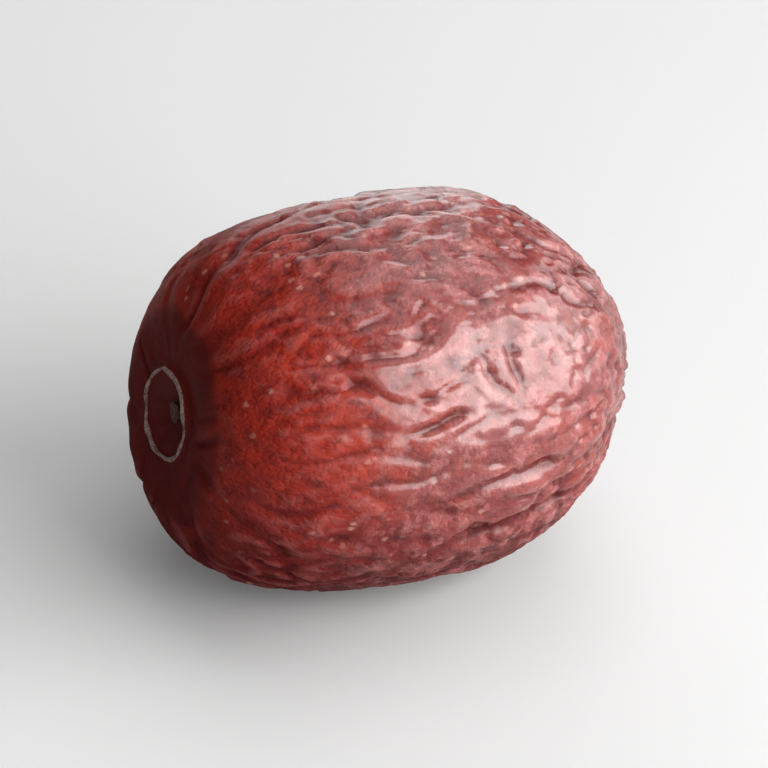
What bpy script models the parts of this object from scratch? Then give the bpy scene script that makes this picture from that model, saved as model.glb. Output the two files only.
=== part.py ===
"""One whole dried jujube, lying on its side: a single solid with its wrinkles, stem ring and tip scar.

The fruit is a turned body along X, blunt at the stem end (-X) and tapered at the tip (+X). Formulas
then move its skin: broad dents, lengthwise grooves, short creases and sunken cells with sharp borders,
and a few folds in their own places. The stem end has a shallow dish inside a thin raised ring of cork,
and the tip a small scar. The fruit is tipped as it lies, and stands on a small flat spot. It is worked
out in millimetres and scaled to metres at the end.
"""

import math
from collections import namedtuple

import bmesh
import bpy
import numpy as np
from mathutils import Matrix, Vector, noise

# Driving dimensions in millimetres
LENGTH = 30.6
DIAMETER = 23.8
RING_RADIUS = 2.65
RING_HALF_WIDTH = 0.17
RING_HEIGHT = 0.24
RING_RISE = 0.2
DISH_DEPTH = 0.75
HOLLOW_DEPTH = 0.42
HOLLOW_REACH = 3.0
NUB_RADIUS = 0.40
NUB_HEIGHT = 0.30
TIP_SCAR_RADIUS = 1.8
TIP_SCAR_DEPTH = 0.50
TIP_POINT_RADIUS = 0.40
TIP_POINT_HEIGHT = 0.20
FLAT_SPOT_DEPTH = 0.45
PRESSED_SMOOTH = 0.4
PRESSED_FADE = 1.4

# Form, as powers of a rounded outline (2 is an ellipse, more is blunter) and as slopes
STEM_BLUNTNESS = 3.1
TIP_BLUNTNESS = 1.8
STEM_FACE_LEAN = 0.07
UNROLLING = 0.55
LYING_ANGLE = math.radians(7)

# Depth of each kind of wrinkle in millimetres
DENT_DEPTH = 0.45
GROOVE_DEPTH = 0.23
CREASE_DEPTH = 0.15
CELL_DEPTH = 0.21
RAY_DEPTH = 0.27

# Folds in their own places: where each starts and ends, in millimetres along the fruit from its
# middle and in degrees round it from +Y through the top, then its half width and depth
Fold = namedtuple("Fold", "start_along start_round end_along end_round half_width depth")
FOLDS = (
    Fold(-1.5, 180, 6.5, 175, 0.42, 0.34),
    Fold(-1.8, 200, 9.2, 192, 0.45, 0.38),
    Fold(-5.0, 159, -0.8, 156, 0.36, 0.34),
    Fold(-0.6, 136, 2.3, 156, 0.28, 0.20),
    Fold(2.0, 133, 2.7, 153, 0.34, 0.26),
    Fold(-2.6, 126, -3.3, 135, 0.50, 0.20),
    Fold(-8.1, 64, 0.9, 70, 0.40, 0.28),
    Fold(-9.2, 92, -2.6, 101, 0.35, 0.20),
)

# Smooth places: where each is, along and round the fruit as above, and its reach in millimetres
Calm = namedtuple("Calm", "along round reach")
CALM_PLACES = (Calm(-7.0, 165, 6.5), Calm(3.5, 146, 6.0), Calm(1.5, 165, 3.2))
CALM_SHARE = 0.5

# Mesh
STATIONS = 190
SIDES = 240
RING_CROWDING = 2.0
TRIANGLES = 11600

SKIN_COLOUR = (0.165, 0.026, 0.018, 1.0)
SKIN_ROUGHNESS = 0.4
METRES_PER_MM = 0.001


def clear_scene():
    """Remove every object that the scene starts with."""
    for thing in list(bpy.data.objects):
        bpy.data.objects.remove(thing, do_unlink=True)


def smoothstep(low, high, value):
    """Rise smoothly from 0 at low to 1 at high; low may be the larger of the two."""
    share = np.clip((value - low) / (high - low), 0.0, 1.0)
    return share * share * (3.0 - 2.0 * share)


def bell(distance, width):
    """A smooth bump, 1 at no distance, that fades over the width."""
    return np.exp(-((distance / width) ** 2))


def grain(points, stretch, shift):
    """Smooth random values from about -1 to 1, stretched by that many millimetres along X, Y and Z."""
    places = points / np.array(stretch) + np.array(shift)
    return np.array([noise.noise(place, noise_basis='PERLIN_ORIGINAL') for place in places.tolist()])


def drift(points, size, amount, shift):
    """The points, pushed about at random by up to the amount, so that what follows them meanders."""
    pushes = [grain(points, (size, size, size), np.array(shift) + apart) for apart in (0.0, 31.7, 67.3)]
    return points + amount * np.stack(pushes, axis=1)


def cells(points, stretch, shift):
    """Distance from the nearest cell border, and one random value from 0 to 1 for each point's cell."""
    places = points / np.array(stretch) + np.array(shift)
    found = [noise.voronoi(place) for place in places.tolist()]
    border = np.array([distances[1] - distances[0] for distances, _ in found])
    centres = np.array([tuple(centre[0]) for _, centre in found])
    draw = np.modf(np.abs(np.sin(centres @ np.array((12.9898, 78.233, 37.719))) * 43758.5453))[0]
    return border, draw


def beside(points, along, angle):
    """Where each point lies from a place on the skin: millimetres along the fruit and round it."""
    turned = np.arctan2(points[:, 2], points[:, 1]) - angle
    turned = (turned + math.pi) % (2 * math.pi) - math.pi
    return points[:, 0] - along, turned * DIAMETER / 2


def furrow(level, width, lip=0.45):
    """A sharp groove where the level is zero, with a low lip along one side."""
    return bell(level, width) - lip * bell(level - 2.2 * width, 1.6 * width)


def half_outline():
    """X and radius from the stem pole to the tip pole, with stations closer together at the ring."""
    turn = np.linspace(0.0, math.pi, 4001)
    cosine = np.cos(turn)
    bluntness = STEM_BLUNTNESS + (TIP_BLUNTNESS - STEM_BLUNTNESS) * (0.5 - 0.5 * cosine)
    x = -LENGTH / 2 * np.sign(cosine) * np.abs(cosine) ** (2 / bluntness)
    radius = DIAMETER / 2 * np.abs(np.sin(turn)) ** (2 / bluntness)
    crowding = 1.0 + RING_CROWDING * bell(radius - RING_RADIUS, 1.2) * (x < 0)
    steps = np.hypot(np.diff(x), np.diff(radius)) * crowding[1:]
    travelled = np.concatenate(([0.0], np.cumsum(steps)))
    wanted = np.linspace(0.0, travelled[-1], STATIONS)
    radii = np.interp(wanted, travelled, radius)
    radii[[0, -1]] = 0.0
    return np.interp(wanted, travelled, x), radii


def turned_body():
    """The smooth body, spun from its half outline about the X axis."""
    body = bmesh.new()
    outline = [body.verts.new((x, 0.0, radius)) for x, radius in zip(*half_outline())]
    for start, end in zip(outline, outline[1:]):
        body.edges.new((start, end))
    bmesh.ops.spin(body, geom=body.verts[:] + body.edges[:], cent=(0, 0, 0), axis=(1, 0, 0),
                   angle=2 * math.pi, steps=SIDES, use_merge=True)
    bmesh.ops.remove_doubles(body, verts=body.verts, dist=1e-4)
    bmesh.ops.recalc_face_normals(body, faces=body.faces)
    body.normal_update()
    return body


def along_skin(points):
    """Places for the wrinkles' noise, unrolled so that lengthwise wrinkles run together at both ends."""
    radius = np.hypot(points[:, 1], points[:, 2]) + 1e-6
    spread = (DIAMETER / 2 / radius) ** UNROLLING
    run = (LENGTH + DIAMETER) / 4 * np.arctan2(points[:, 0], radius)
    return np.stack((run, points[:, 1] * spread, points[:, 2] * spread), axis=1)


def wrinkled_share(points):
    """How strongly the skin wrinkles: not on the cap round the ring, nor where the fruit is pressed flat."""
    along = points[:, 0] / (LENGTH / 2)
    ends = smoothstep(-0.95, -0.68, along) * (1 - 0.5 * smoothstep(0.88, 1.0, along))
    height = points[:, 2] * math.cos(LYING_ANGLE) - points[:, 0] * math.sin(LYING_ANGLE)
    return ends * smoothstep(PRESSED_SMOOTH, PRESSED_FADE, height - height.min())


def fold_height(points, fold):
    """The height of one fold: a groove from its start to its end, with a low lip along one side."""
    along, aside = beside(points, fold.start_along, math.radians(fold.start_round))
    run_along = fold.end_along - fold.start_along
    run_aside = math.radians(fold.end_round - fold.start_round) * DIAMETER / 2
    length = math.hypot(run_along, run_aside)
    travelled = np.clip((along * run_along + aside * run_aside) / length, 0.0, length)
    off = np.hypot(along - travelled * run_along / length, aside - travelled * run_aside / length)
    side = np.sign(aside * run_along - along * run_aside)
    ends = smoothstep(-0.1, 0.3, travelled / length) * smoothstep(1.1, 0.7, travelled / length)
    return -fold.depth * ends * furrow(off * side, fold.half_width)


def uncalmed_share(points):
    """How strongly the skin wrinkles near the smooth places on its side."""
    share = np.ones(len(points))
    for calm in CALM_PLACES:
        away = np.hypot(*beside(points, calm.along, math.radians(calm.round)))
        share *= 1 - CALM_SHARE * bell(away, calm.reach)
    return share


def ring_axis(points):
    """The angle of each point round the middle of the stem ring, and its distance from there."""
    height = points[:, 2] - RING_RISE
    return np.arctan2(height, points[:, 1]), np.hypot(points[:, 1], height)


def ray_height(points):
    """The height of the shallow folds that run outwards from the stem ring."""
    angle, radius = ring_axis(drift(points, 3.0, 0.9, (2.2, 8.0, 5.5)))
    rays = np.stack((2.3 * np.cos(angle), 2.3 * np.sin(angle), 0.14 * radius), axis=1)
    reach = smoothstep(RING_RADIUS + 0.4, RING_RADIUS + 2.0, radius) * smoothstep(11.0, 7.5, radius)
    deep = 0.35 + 0.65 * smoothstep(-0.2, 0.25, grain(points, (5, 4, 4), (11.3, 2.0, 9.5)))
    depth = RAY_DEPTH * furrow(grain(rays, (1, 1, 1), (5.1, 2.0, 3.3)), 0.15) * deep * reach
    return np.where(points[:, 0] < 0, -depth, 0.0)


def wrinkle_height(points):
    """How far the skin stands out at each point."""
    height = DENT_DEPTH * grain(points, (13, 9, 9), (3.1, 0.4, 7.7))
    height *= smoothstep(-1.0, -0.8, points[:, 0] / (LENGTH / 2))
    creased = wrinkled_share(points) * uncalmed_share(points)
    places = along_skin(points)

    grooves = grain(drift(places, 5.0, 1.3, (1.2, 5.5, 9.1)), (10.0, 2.9, 2.9), (0.3, 11.0, 2.0))
    grooved = 0.25 + 0.75 * smoothstep(-0.30, 0.20, grain(places, (9, 7, 7), (21.3, 4.2, 0.5)))
    height -= GROOVE_DEPTH * furrow(grooves, 0.13) * grooved * creased

    creases = grain(drift(places, 2.4, 0.8, (4.4, 2.5, 6.1)), (4.2, 2.0, 2.0), (14.3, 1.0, 6.0))
    crossed = smoothstep(-0.15, 0.20, grain(places, (3.8, 3.0, 3.0), (8.3, 6.0, 1.0)))
    height -= CREASE_DEPTH * furrow(creases, 0.16) * crossed * creased

    border, draw = cells(drift(places, 2.6, 1.1, (7, 1, 4)), (3.4, 2.0, 2.0), (5.0, 2.0, 8.0))
    sunken = 0.4 + 0.6 * smoothstep(-0.25, 0.30, grain(places, (7, 5.5, 5.5), (2.3, 14.2, 30.5)))
    height -= CELL_DEPTH * smoothstep(0.0, 0.45, border) * (0.2 + 0.8 * draw) * sunken * creased

    wandering = drift(points, 2.5, 0.45, (11.0, 3.0, 6.0))
    for fold in FOLDS:
        height += fold_height(wandering, fold)
    return height + ray_height(points)


def stem_end_push(points):
    """How far each point moves along +X for the lean of the stem end, its dish, its ring and its nub."""
    angle, radius = ring_axis(points)
    radius /= 1 + 0.035 * np.sin(2 * angle + 0.7) + 0.02 * np.sin(3 * angle + 2.0) + 0.012 * np.sin(7 * angle)
    swell = 1 + 0.22 * np.sin(2 * angle + 4.0) + 0.16 * np.sin(5 * angle + 1.0) + 0.10 * np.sin(9 * angle + 2.5)
    push = DISH_DEPTH * smoothstep(RING_RADIUS - 0.1, 0.5, radius)
    push += HOLLOW_DEPTH * smoothstep(RING_RADIUS + HOLLOW_REACH, RING_RADIUS, radius)
    push -= RING_HEIGHT * swell * bell(radius - RING_RADIUS, RING_HALF_WIDTH * swell)
    push -= NUB_HEIGHT * bell(radius, NUB_RADIUS)
    lean = STEM_FACE_LEAN * points[:, 2] * smoothstep(-0.2, -0.95, points[:, 0] / (LENGTH / 2))
    return lean + np.where(points[:, 0] < -LENGTH / 4, push, 0.0)


def tip_push(points):
    """How far each point moves along +X for the scar at the tip and the point left in it."""
    radius = np.hypot(points[:, 1], points[:, 2])
    push = TIP_POINT_HEIGHT * bell(radius, TIP_POINT_RADIUS) - TIP_SCAR_DEPTH * bell(radius, TIP_SCAR_RADIUS)
    return np.where(points[:, 0] > LENGTH / 4, push, 0.0)


def dry_skin(body):
    """Move the skin of the smooth body to its wrinkled shape."""
    points = np.array([vertex.co for vertex in body.verts], dtype=float)
    normals = np.array([vertex.normal for vertex in body.verts], dtype=float)
    points += wrinkle_height(points)[:, None] * normals
    points[:, 0] += stem_end_push(points) + tip_push(points)
    for vertex, point in zip(body.verts, points):
        vertex.co = point


def thinned(body, name):
    """The body as a mesh with the wanted number of triangles, most of them where the skin bends most."""
    mesh = bpy.data.meshes.new(name)
    bmesh.ops.triangulate(body, faces=body.faces)
    body.to_mesh(mesh)
    body.free()
    holder = bpy.data.objects.new(name + "_fine", mesh)
    bpy.context.scene.collection.objects.link(holder)
    thinning = holder.modifiers.new("Thinning", 'DECIMATE')
    thinning.ratio = TRIANGLES / len(mesh.polygons)
    bpy.context.view_layer.update()
    result = bpy.data.meshes.new_from_object(holder.evaluated_get(bpy.context.evaluated_depsgraph_get()))
    bpy.data.objects.remove(holder)
    bpy.data.meshes.remove(mesh)
    return result


def lay_on_flat_spot(mesh):
    """Tip the fruit as it lies, cut its flat spot and put the middle of its box over the origin."""
    fruit = bmesh.new()
    fruit.from_mesh(mesh)
    fruit.transform(Matrix.Rotation(LYING_ANGLE, 4, 'Y'))
    cut = min(vertex.co.z for vertex in fruit.verts) + FLAT_SPOT_DEPTH
    bmesh.ops.bisect_plane(fruit, geom=fruit.verts[:] + fruit.edges[:] + fruit.faces[:], dist=1e-5,
                           plane_co=(0, 0, cut), plane_no=(0, 0, -1), clear_outer=True)
    rim = [edge for edge in fruit.edges if edge.is_boundary]
    bmesh.ops.contextual_create(fruit, geom=rim)
    bmesh.ops.recalc_face_normals(fruit, faces=fruit.faces)
    across = [vertex.co.x for vertex in fruit.verts]
    deep = [vertex.co.y for vertex in fruit.verts]
    middle = Vector(((min(across) + max(across)) / 2, (min(deep) + max(deep)) / 2, cut))
    bmesh.ops.translate(fruit, verts=fruit.verts, vec=-middle)
    bmesh.ops.scale(fruit, verts=fruit.verts, vec=(METRES_PER_MM, METRES_PER_MM, METRES_PER_MM))
    fruit.to_mesh(mesh)
    fruit.free()


def skin_material():
    """Dark red-brown leathery skin with a soft gloss."""
    material = bpy.data.materials.new("jujube_skin")
    material.use_nodes = True
    shader = material.node_tree.nodes["Principled BSDF"]
    shader.inputs["Base Color"].default_value = SKIN_COLOUR
    shader.inputs["Roughness"].default_value = SKIN_ROUGHNESS
    shader.inputs["Metallic"].default_value = 0.0
    return material


def build_jujube():
    """Make the fruit as one object."""
    body = turned_body()
    dry_skin(body)
    mesh = thinned(body, "jujube")
    lay_on_flat_spot(mesh)
    mesh.shade_smooth()
    mesh.set_sharp_from_angle(angle=math.radians(50))
    mesh.materials.append(skin_material())
    fruit = bpy.data.objects.new("jujube", mesh)
    bpy.context.scene.collection.objects.link(fruit)
    return fruit


clear_scene()
build_jujube()
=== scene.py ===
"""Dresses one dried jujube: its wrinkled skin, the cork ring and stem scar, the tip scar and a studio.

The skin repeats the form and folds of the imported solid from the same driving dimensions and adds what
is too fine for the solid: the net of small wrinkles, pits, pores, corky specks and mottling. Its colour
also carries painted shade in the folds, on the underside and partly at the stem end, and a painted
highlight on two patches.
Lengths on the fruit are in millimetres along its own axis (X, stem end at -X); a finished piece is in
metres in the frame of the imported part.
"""

import logging
import math
from dataclasses import dataclass, field
from enum import Enum
from typing import Callable, NamedTuple, Optional, Sequence, Union

import bpy
import numpy as np
from mathutils import Matrix, Quaternion, Vector, noise


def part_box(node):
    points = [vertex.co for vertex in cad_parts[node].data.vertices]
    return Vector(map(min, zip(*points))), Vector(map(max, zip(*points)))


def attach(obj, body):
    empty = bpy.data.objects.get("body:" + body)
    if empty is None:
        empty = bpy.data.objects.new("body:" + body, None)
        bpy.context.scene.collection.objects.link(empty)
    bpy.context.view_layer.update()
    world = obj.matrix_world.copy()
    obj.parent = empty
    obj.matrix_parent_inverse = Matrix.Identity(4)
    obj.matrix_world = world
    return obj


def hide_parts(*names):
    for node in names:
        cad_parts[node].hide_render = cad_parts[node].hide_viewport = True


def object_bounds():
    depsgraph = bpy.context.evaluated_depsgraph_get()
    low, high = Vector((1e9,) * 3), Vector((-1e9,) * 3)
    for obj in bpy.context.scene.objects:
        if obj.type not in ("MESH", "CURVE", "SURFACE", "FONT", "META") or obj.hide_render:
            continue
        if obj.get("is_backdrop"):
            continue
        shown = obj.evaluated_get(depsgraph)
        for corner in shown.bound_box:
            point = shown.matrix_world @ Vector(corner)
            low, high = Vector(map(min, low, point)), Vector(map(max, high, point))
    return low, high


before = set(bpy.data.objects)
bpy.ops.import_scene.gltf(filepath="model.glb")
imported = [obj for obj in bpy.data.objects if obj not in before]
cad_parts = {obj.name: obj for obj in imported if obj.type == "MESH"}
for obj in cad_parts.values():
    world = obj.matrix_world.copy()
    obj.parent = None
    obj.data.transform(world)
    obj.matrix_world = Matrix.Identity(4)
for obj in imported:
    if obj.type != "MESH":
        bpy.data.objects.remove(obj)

LOG = logging.getLogger("jujube")
NODE = "jujube"
BODY = "root"
SKIN_SLOT = "skin"
METRES_PER_MM = 0.001

FINE_STATIONS = 4001  # points of the outline before it is thinned
WANDER_SHIFTS = (0.0, 31.7, 67.3)  # another part of the noise for each axis
DRAW_DIRECTION = (12.9898, 78.233, 37.719)  # with the scale, scrambles a cell's seed into one draw
DRAW_SCALE = 43758.5453
LIP_PLACE = 2.2  # in widths of the groove
LIP_WIDTH = 1.6

Colour = tuple[float, float, float]
Triple = tuple[float, float, float]
Span = tuple[float, float]
Share = Union[np.ndarray, "Wire"]
Value = Union["Wire", float, int, Sequence[float]]


def smoothstep(low: float, high: float, value: np.ndarray) -> np.ndarray:
    """Rise smoothly from 0 at low to 1 at high; low may be the larger of the two."""
    share = np.clip((value - low) / (high - low), 0.0, 1.0)
    return share * share * (3.0 - 2.0 * share)


def bell(distance: np.ndarray, width: float) -> np.ndarray:
    """Return a smooth bump, 1 at no distance, that fades over the width."""
    return np.exp(-((distance / width) ** 2))


def grain(points: np.ndarray, stretch: Triple, shift: Sequence[float]) -> np.ndarray:
    """Return smooth random values from about -1 to 1.

    Args:
        points: places, one row each, in millimetres.
        stretch: size of the pattern along X, Y and Z, in millimetres.
        shift: which part of the endless pattern is used.

    Returns:
        One value for each place.
    """
    places = points / np.array(stretch) + np.array(shift)
    return np.array([noise.noise(place, noise_basis='PERLIN_ORIGINAL') for place in places.tolist()])


class Wander(NamedTuple):
    """A random push that makes folds meander: how far apart its turns are, its most, and its start."""

    size: float
    amount: float
    shift: Triple

    def of(self, points: np.ndarray) -> np.ndarray:
        """Return the points pushed about; sizes are in millimetres."""
        pushes = [grain(points, (self.size,) * 3, np.array(self.shift) + apart) for apart in WANDER_SHIFTS]
        return points + self.amount * np.stack(pushes, axis=1)


class Patches(NamedTuple):
    """Where a kind of wrinkle is strong: the pattern's size and start, and the values it rises between."""

    stretch: Triple
    shift: Triple
    rise: Span

    def of(self, points: np.ndarray) -> np.ndarray:
        """Return how strong the wrinkles are at each point, from 0 to 1."""
        return smoothstep(*self.rise, grain(points, self.stretch, self.shift))


class Cells(NamedTuple):
    """Where points lie in a random pattern of cells, in cell sizes, and one draw from 0 to 1 a cell."""

    inside: np.ndarray
    border: np.ndarray
    draw: np.ndarray


def cells(points: np.ndarray, stretch: Triple, shift: Triple) -> Cells:
    """Return each point's distance from its cell's seed and border, and its cell's random value."""
    places = points / np.array(stretch) + np.array(shift)
    found = [noise.voronoi(place) for place in places.tolist()]
    nearest = np.array([distances[:2] for distances, _ in found])
    seeds = np.array([tuple(seed[0]) for _, seed in found])
    draw = np.modf(np.abs(np.sin(seeds @ np.array(DRAW_DIRECTION)) * DRAW_SCALE))[0]
    return Cells(nearest[:, 0], nearest[:, 1] - nearest[:, 0], draw)


def at_least(least: float, share: Share) -> Share:
    """Return a share from 0 to 1 squeezed so that it starts from the least value."""
    return least + (1 - least) * share


def ray_places(angle: np.ndarray, radius: np.ndarray, crowding: float, stretch: float) -> np.ndarray:
    """Return places for noise that runs outwards: its crowding round the middle, its pace outwards."""
    return np.stack((crowding * np.cos(angle), crowding * np.sin(angle), stretch * radius), axis=1)


def furrow(level: np.ndarray, width: float, lip: float = 0.45) -> np.ndarray:
    """Return a sharp groove where the level is zero, with a low lip along one side."""
    return bell(level, width) - lip * bell(level - LIP_PLACE * width, LIP_WIDTH * width)


class Calm(NamedTuple):
    """A smooth place: millimetres along the fruit, degrees round it, and its reach in millimetres."""

    along: float
    round: float
    reach: float


class Wave(NamedTuple):
    """One part of the ring's unevenness: its share of the size, its waves in one round, its phase."""

    share: float
    waves: int
    phase: float


@dataclass(frozen=True)
class Form:
    """Driving dimensions of the fruit in millimetres, the same as those of its solid."""

    length: float = 30.6
    diameter: float = 23.8
    stem_bluntness: float = 3.1
    tip_bluntness: float = 1.8
    stem_face_lean: float = 0.07
    stem_lean_rise: Span = (-0.2, -0.95)
    unrolling: float = 0.55
    lying_angle: float = math.radians(7)
    flat_spot_depth: float = 0.45
    pressed_fade: Span = (0.4, 1.4)
    stem_wrinkles_rise: Span = (-0.95, -0.68)
    tip_wrinkles_fall: Span = (0.88, 1.0)
    ring_radius: float = 2.65
    ring_half_width: float = 0.17
    ring_height: float = 0.24
    ring_rise: float = 0.2
    ring_wobbles: tuple[Wave, ...] = (Wave(0.035, 2, 0.7), Wave(0.02, 3, 2.0), Wave(0.012, 7, 0.0))
    ring_swells: tuple[Wave, ...] = (Wave(0.22, 2, 4.0), Wave(0.16, 5, 1.0), Wave(0.10, 9, 2.5))
    dish_depth: float = 0.75
    dish_wall: float = 0.1
    dish_floor_radius: float = 0.5
    hollow_depth: float = 0.42
    hollow_reach: float = 3.0
    nub_radius: float = 0.40
    nub_height: float = 0.30
    tip_scar_radius: float = 1.8
    tip_scar_depth: float = 0.50
    tip_point_radius: float = 0.40
    tip_point_height: float = 0.20
    calm_places: tuple[Calm, ...] = (Calm(-7.0, 165, 6.5), Calm(3.5, 146, 6.0), Calm(1.5, 165, 3.2))
    calm_share: float = 0.5

    def half_outline(self, stations: int, ring_crowding: float) -> tuple[np.ndarray, np.ndarray]:
        """Return the X and radius of each station from stem to tip; they crowd at the stem ring."""
        turn = np.linspace(0.0, math.pi, FINE_STATIONS)
        cosine = np.cos(turn)
        tip_share = 0.5 - 0.5 * cosine
        bluntness = self.stem_bluntness + (self.tip_bluntness - self.stem_bluntness) * tip_share
        x = -self.length / 2 * np.sign(cosine) * np.abs(cosine) ** (2 / bluntness)
        radius = self.diameter / 2 * np.abs(np.sin(turn)) ** (2 / bluntness)
        crowding = 1.0 + ring_crowding * bell(radius - self.ring_radius, 1.2) * (x < 0)
        steps = np.hypot(np.diff(x), np.diff(radius)) * crowding[1:]
        travelled = np.concatenate(([0.0], np.cumsum(steps)))
        wanted = np.linspace(0.0, travelled[-1], stations)
        radii = np.interp(wanted, travelled, radius)
        radii[[0, -1]] = 0.0
        return np.interp(wanted, travelled, x), radii

    def along_skin(self, points: np.ndarray) -> np.ndarray:
        """Return places for the wrinkles' noise, unrolled so that folds run together at both ends."""
        radius = np.hypot(points[:, 1], points[:, 2]) + 1e-6
        spread = (self.diameter / 2 / radius) ** self.unrolling
        run = (self.length + self.diameter) / 4 * np.arctan2(points[:, 0], radius)
        return np.stack((run, points[:, 1] * spread, points[:, 2] * spread), axis=1)

    def along(self, points: np.ndarray) -> np.ndarray:
        """Return how far along the fruit each point is, from -1 at the stem end to 1 at the tip."""
        return points[:, 0] / (self.length / 2)

    def wrinkled_share(self, points: np.ndarray) -> np.ndarray:
        """Return how strongly the skin wrinkles, which it doesn't round the ring or where it is pressed."""
        along = self.along(points)
        ends = smoothstep(*self.stem_wrinkles_rise, along)
        ends *= 1 - 0.5 * smoothstep(*self.tip_wrinkles_fall, along)
        height = points[:, 2] * math.cos(self.lying_angle) - points[:, 0] * math.sin(self.lying_angle)
        return ends * smoothstep(*self.pressed_fade, height - height.min())

    def beside(self, points: np.ndarray, along: float, angle: float) -> tuple[np.ndarray, np.ndarray]:
        """Return how far each point is from a place on the skin, along the fruit and round it."""
        turned = np.arctan2(points[:, 2], points[:, 1]) - angle
        turned = (turned + math.pi) % (2 * math.pi) - math.pi
        return points[:, 0] - along, turned * self.diameter / 2

    def calmness(self, points: np.ndarray, calm: Calm) -> np.ndarray:
        """Return how near each point is to the middle of a smooth place."""
        return bell(np.hypot(*self.beside(points, calm.along, math.radians(calm.round))), calm.reach)

    def uncalmed_share(self, points: np.ndarray) -> np.ndarray:
        """Return how strongly the skin wrinkles near the smooth places."""
        shares = [1 - self.calm_share * self.calmness(points, calm) for calm in self.calm_places]
        return np.prod(shares, axis=0)

    def ring_axis(self, points: np.ndarray) -> tuple[np.ndarray, np.ndarray]:
        """Return each point's angle round the middle of the stem ring, and its distance from there."""
        height = points[:, 2] - self.ring_rise
        return np.arctan2(height, points[:, 1]), np.hypot(points[:, 1], height)

    def ring_distance(self, points: np.ndarray) -> np.ndarray:
        """Return each point's distance from the ring's middle, evened out for the ring's wobble."""
        angle, radius = self.ring_axis(points)
        return radius / self.ring_wobble(angle)

    @staticmethod
    def uneven(angle: np.ndarray, waves: Sequence[Wave]) -> np.ndarray:
        """Return a share of about 1 that varies round the ring."""
        share = np.ones_like(angle)
        for wave in waves:
            share = share + wave.share * np.sin(wave.waves * angle + wave.phase)
        return share

    def ring_wobble(self, angle: np.ndarray) -> np.ndarray:
        """Return how much wider than a circle the ring is at each angle."""
        return self.uneven(angle, self.ring_wobbles)

    def ring_swell(self, angle: np.ndarray) -> np.ndarray:
        """Return how much thicker than usual the ring is at each angle."""
        return self.uneven(angle, self.ring_swells)

    def stem_end_push(self, points: np.ndarray) -> np.ndarray:
        """Return how far each point moves along +X for the stem end's lean, dish, ring and nub."""
        radius = self.ring_distance(points)
        swell = self.ring_swell(self.ring_axis(points)[0])
        ring = self.ring_radius
        push = self.dish_depth * smoothstep(ring - self.dish_wall, self.dish_floor_radius, radius)
        push += self.hollow_depth * smoothstep(ring + self.hollow_reach, ring, radius)
        push -= self.ring_height * swell * bell(radius - ring, self.ring_half_width * swell)
        push -= self.nub_height * bell(radius, self.nub_radius)
        lean = self.stem_face_lean * points[:, 2] * smoothstep(*self.stem_lean_rise, self.along(points))
        return lean + np.where(points[:, 0] < -self.length / 4, push, 0.0)

    def stem_face(self, points: np.ndarray) -> np.ndarray:
        """Return the X of the skin's surface at the stem end for each point's Y and Z."""
        x, radius = self.half_outline(FINE_STATIONS, 0.0)
        face = points.copy()
        face[:, 0] = np.interp(np.hypot(points[:, 1], points[:, 2]), radius[x < 0], x[x < 0])
        return face[:, 0] + self.stem_end_push(face)

    def tip_push(self, points: np.ndarray) -> np.ndarray:
        """Return how far each point moves along +X for the scar at the tip and the point in it."""
        radius = np.hypot(points[:, 1], points[:, 2])
        push = self.tip_point_height * bell(radius, self.tip_point_radius)
        push -= self.tip_scar_depth * bell(radius, self.tip_scar_radius)
        return np.where(points[:, 0] > self.length / 4, push, 0.0)


class Fold(NamedTuple):
    """One groove in its own place, in millimetres along the fruit and in degrees round it."""

    start_along: float
    start_round: float
    end_along: float
    end_round: float
    half_width: float
    depth: float

    def height(self, form: Form, points: np.ndarray) -> np.ndarray:
        """Return the height of the fold at each point, with a low lip along one side of it."""
        along, aside = form.beside(points, self.start_along, math.radians(self.start_round))
        run_along = self.end_along - self.start_along
        run_aside = math.radians(self.end_round - self.start_round) * form.diameter / 2
        length = math.hypot(run_along, run_aside)
        travelled = np.clip((along * run_along + aside * run_aside) / length, 0.0, length)
        off = np.hypot(along - travelled * run_along / length, aside - travelled * run_aside / length)
        side = np.sign(aside * run_along - along * run_aside)
        share = travelled / length
        ends = smoothstep(-0.1, 0.3, share) * smoothstep(1.1, 0.7, share)
        return -self.depth * ends * furrow(off * side, self.half_width)


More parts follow.
